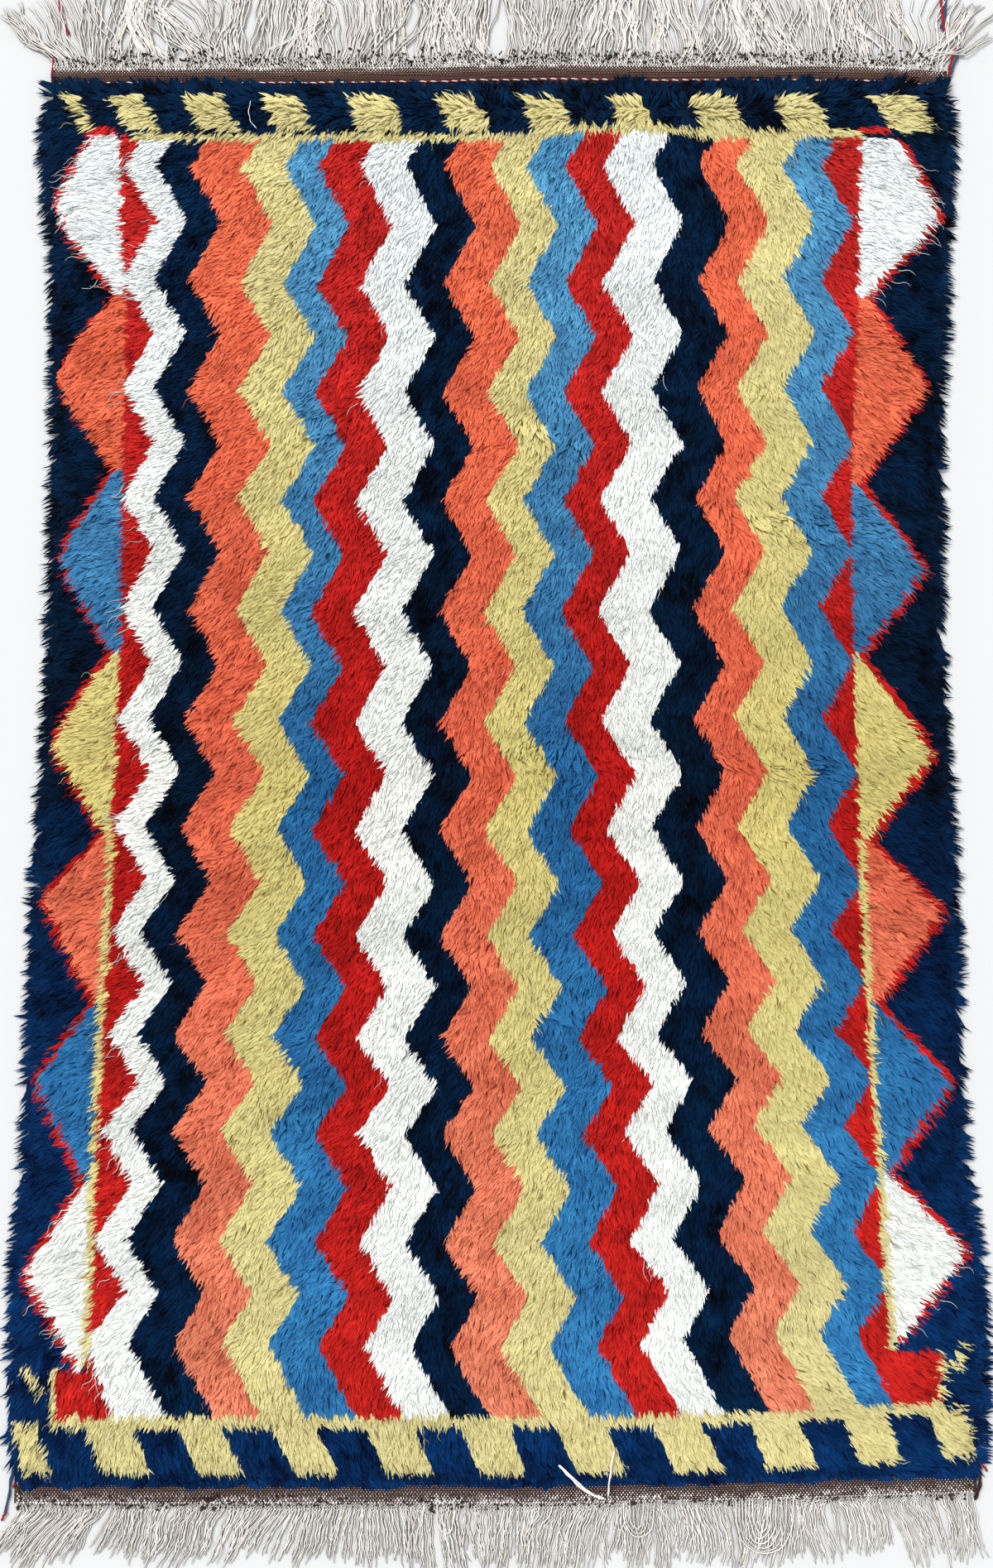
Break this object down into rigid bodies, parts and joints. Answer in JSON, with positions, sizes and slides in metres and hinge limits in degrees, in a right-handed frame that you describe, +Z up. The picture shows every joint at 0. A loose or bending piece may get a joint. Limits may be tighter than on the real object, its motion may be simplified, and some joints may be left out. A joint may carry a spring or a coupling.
{
  "type": "tulu rug",
  "caption": "Flat hand-knotted wool rug with long lying pile in zigzag stripes, half-diamond borders, short flat-woven ends and warp fringes.",
  "frame": {"origin": "on the floor under the middle of the weave", "axes": "+Y along the rug to the head, the picture's top; +X across it to the picture's right; +Z up from the floor"},
  "size_m": [1.1821, 1.9571, 0.0201],
  "materials": {
    "wool": "long lying wool pile in navy, coral, red, white, yellow and blue, with brown flat-woven ends",
    "warp": "undyed ivory wool yarn, plied, matt"
  },
  "bodies": {
    "root": {"rug": "wool", "fringe_head": "warp", "fringe_foot": "warp"}
  },
  "joints": []
}
